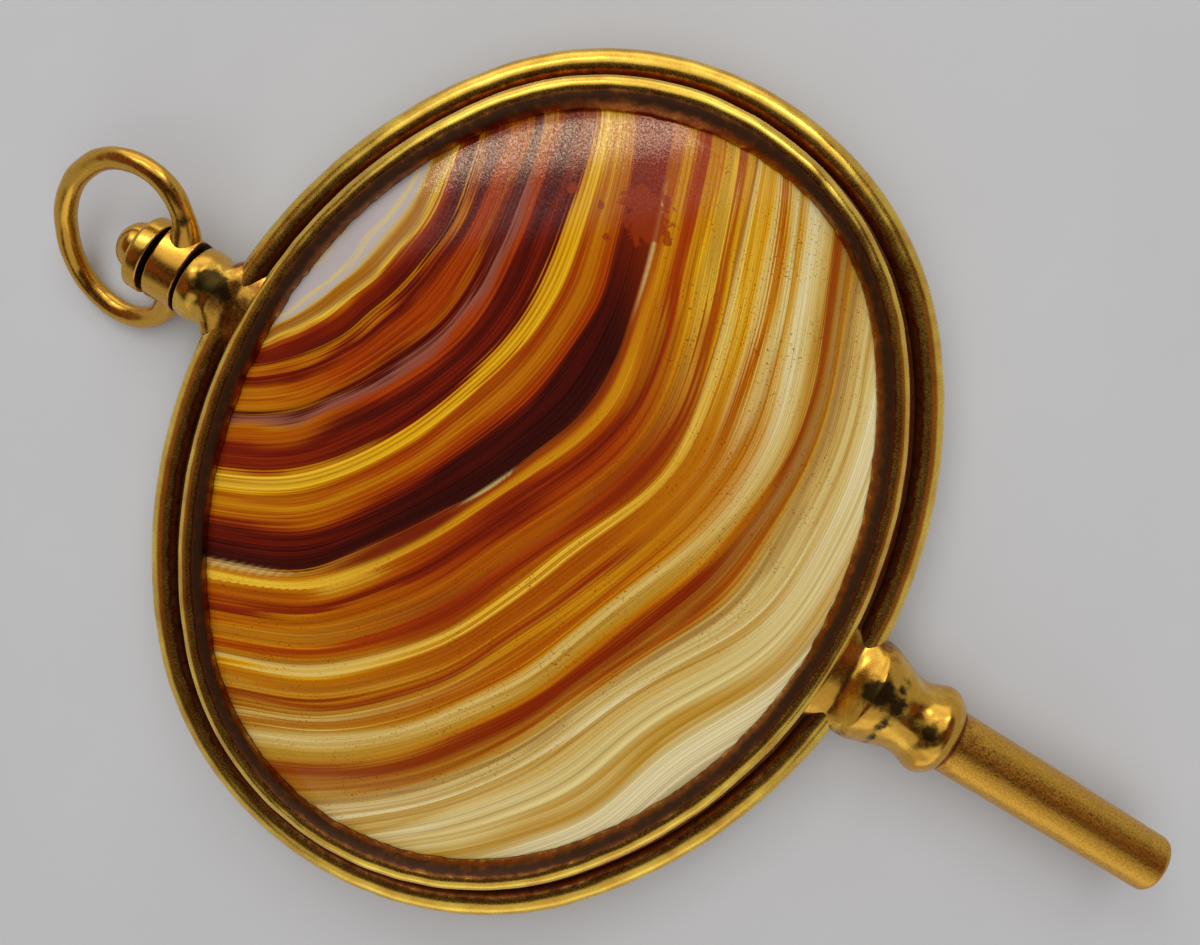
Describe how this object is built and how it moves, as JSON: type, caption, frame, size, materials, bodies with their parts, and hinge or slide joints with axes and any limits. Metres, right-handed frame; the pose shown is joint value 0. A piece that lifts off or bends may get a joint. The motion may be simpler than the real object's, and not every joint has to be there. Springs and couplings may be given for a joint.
{
  "type": "watch key",
  "caption": "Decorative watch key: banded agate plaque in a reeded gilt oval rim, with a square-mouthed winding pipe and a wire bow on a swivelling collar.",
  "frame": {"origin": "centre of the winding square in the mouth of the pipe, on the key's axis", "axes": "+X along the key's axis, out of the pipe's mouth; +Y across the oval; +Z out of the front face of the stone"},
  "size_m": [0.0569, 0.04, 0.0052],
  "materials": {
    "gilt_rim": "polished warm gilding with darker tarnish in the grooves",
    "banded_agate": "polished, translucent, banded from cream through honey and orange to dark red-brown",
    "matt_gilt_pipe": "matt, finely granular gilding",
    "gilt_fittings": "polished gilding, worn and pitted round the solder",
    "gilt_bow": "polished gilding with fine wear"
  },
  "bodies": {
    "key": {"rim_frame": "gilt_rim", "front_bezel": "gilt_rim", "back_bezel": "gilt_rim", "agate_plaque": "banded_agate", "key_pipe": "matt_gilt_pipe", "pipe_ferrule": "gilt_fittings", "pendant_neck": "gilt_fittings", "swivel_rivet": "gilt_fittings", "swivel_washer": "gilt_fittings"},
    "bow": {"bow_collar": "gilt_bow", "bow_ring": "gilt_bow"}
  },
  "joints": [
    {"name": "bow_swivel", "type": "hinge", "parent": "key", "child": "bow", "pos_m": [-0.05063, 0, 0], "axis": [1, 0, 0], "continuous": true}
  ]
}
